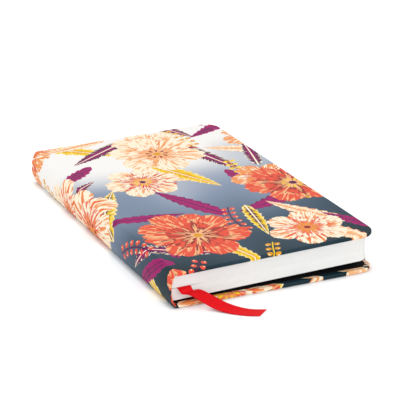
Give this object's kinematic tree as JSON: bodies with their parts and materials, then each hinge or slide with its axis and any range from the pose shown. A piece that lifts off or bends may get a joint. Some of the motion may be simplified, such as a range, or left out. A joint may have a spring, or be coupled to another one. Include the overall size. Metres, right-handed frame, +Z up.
{
  "type": "hardcover journal",
  "caption": "Closed hardcover journal with a rounded spine, floral-toned paper cover, white pages, inner pouch and ribbon marker; its cover opens flat.",
  "frame": {"origin": "under the middle of the closed journal, on the surface that it lies on; the ribbon's free tail isn't counted", "axes": "+X from the spine to the fore-edge, +Y from the tail to the head, +Z up from the back cover to the front cover"},
  "size_m": [0.131, 0.2368, 0.0242],
  "materials": {
    "printed_paper": "satin laminated print in floral colours on grey-blue",
    "greyboard": "raw bookbinding board",
    "black_paper": "matt uncoated black paper",
    "page_paper": "uncoated white writing paper",
    "lining_cloth": "open-weave binding cloth",
    "ribbon_satin": "red satin ribbon"
  },
  "bodies": {
    "back_cover": {"back_board": "greyboard", "back_cover_wrap": "printed_paper", "back_joint_wrap": "printed_paper", "back_pastedown": "black_paper", "pouch_gusset_head": "black_paper", "pouch_gusset_tail": "black_paper"},
    "spine": {"spine_wrap": "printed_paper", "spine_inlay": "greyboard", "spine_lining": "lining_cloth"},
    "front_cover": {"front_board": "greyboard", "front_cover_wrap": "printed_paper", "front_joint_wrap": "printed_paper", "front_pastedown": "black_paper"},
    "front_leaves": {"front_flyleaf": "black_paper", "section_1": "page_paper"},
    "leaves_2": {"section_2": "page_paper"},
    "leaves_3": {"section_3": "page_paper"},
    "leaves_4": {"section_4": "page_paper"},
    "leaves_5": {"section_5": "page_paper", "ribbon_in_gutter": "ribbon_satin", "ribbon_tail": "ribbon_satin"},
    "leaves_6": {"section_6": "page_paper"},
    "leaves_7": {"section_7": "page_paper"},
    "back_leaves": {"back_flyleaf": "black_paper", "section_8": "page_paper"},
    "pouch": {"pouch_panel": "black_paper"}
  },
  "joints": [
    {"name": "front_cover_hinge", "type": "hinge", "parent": "spine", "child": "front_cover", "pos_m": [-0.06334, 0, 0.01876], "axis": [0, -1, 0], "range_deg": [0, 89.97], "deforming": ["front_joint_wrap"]},
    {"name": "spine_hinge", "type": "hinge", "parent": "back_cover", "child": "spine", "pos_m": [-0.06296, 0, 0.00244], "axis": [0, -1, 0], "range_deg": [0, 88.67], "deforming": ["back_joint_wrap"]},
    {"name": "front_leaves_lift", "type": "hinge", "parent": "front_cover", "child": "front_leaves", "pos_m": [-0.06288, 0, 0.01842], "axis": [0, 1, 0], "range_deg": [0, 3.2]},
    {"name": "back_leaves_lift", "type": "hinge", "parent": "back_cover", "child": "back_leaves", "pos_m": [-0.06252, 0, 0.00325], "axis": [0, -1, 0], "range_deg": [0, 3.2]},
    {"name": "pouch_hinge", "type": "hinge", "parent": "back_cover", "child": "pouch", "pos_m": [-0.06176, 0, 0.00277], "axis": [0, -1, 0], "range_deg": [0, 2.8], "deforming": ["pouch_gusset_head", "pouch_gusset_tail"]},
    {"name": "section_2_slide", "type": "slide", "parent": "front_leaves", "child": "leaves_2", "axis": [-0.9997, 0, -0.0237], "range_m": [0, 0.0014]},
    {"name": "section_3_slide", "type": "slide", "parent": "front_leaves", "child": "leaves_3", "axis": [-0.9997, 0, -0.0237], "range_m": [0, 0.0028]},
    {"name": "section_4_slide", "type": "slide", "parent": "front_leaves", "child": "leaves_4", "axis": [-0.9997, 0, -0.0237], "range_m": [0, 0.0042]},
    {"name": "section_7_slide", "type": "slide", "parent": "back_leaves", "child": "leaves_7", "axis": [-0.9997, 0, -0.0237], "range_m": [0, 0.0014]},
    {"name": "section_6_slide", "type": "slide", "parent": "back_leaves", "child": "leaves_6", "axis": [-0.9997, 0, -0.0237], "range_m": [0, 0.0028]},
    {"name": "section_5_slide", "type": "slide", "parent": "back_leaves", "child": "leaves_5", "axis": [-0.9997, 0, -0.0237], "range_m": [0, 0.0042]}
  ],
  "couplings": [
    {"joint": "spine_hinge", "follows": "front_cover_hinge", "ratio": 0.98555},
    {"joint": "front_leaves_lift", "follows": "front_cover_hinge", "ratio": 0.035567},
    {"joint": "back_leaves_lift", "follows": "front_cover_hinge", "ratio": 0.035567},
    {"joint": "pouch_hinge", "follows": "front_cover_hinge", "ratio": 0.031121},
    {"joint": "section_2_slide", "follows": "front_cover_hinge", "m_per_rad": 0.00089156},
    {"joint": "section_3_slide", "follows": "front_cover_hinge", "m_per_rad": 0.0017831},
    {"joint": "section_4_slide", "follows": "front_cover_hinge", "m_per_rad": 0.0026747},
    {"joint": "section_7_slide", "follows": "front_cover_hinge", "m_per_rad": 0.00089156},
    {"joint": "section_6_slide", "follows": "front_cover_hinge", "m_per_rad": 0.0017831},
    {"joint": "section_5_slide", "follows": "front_cover_hinge", "m_per_rad": 0.0026747}
  ]
}
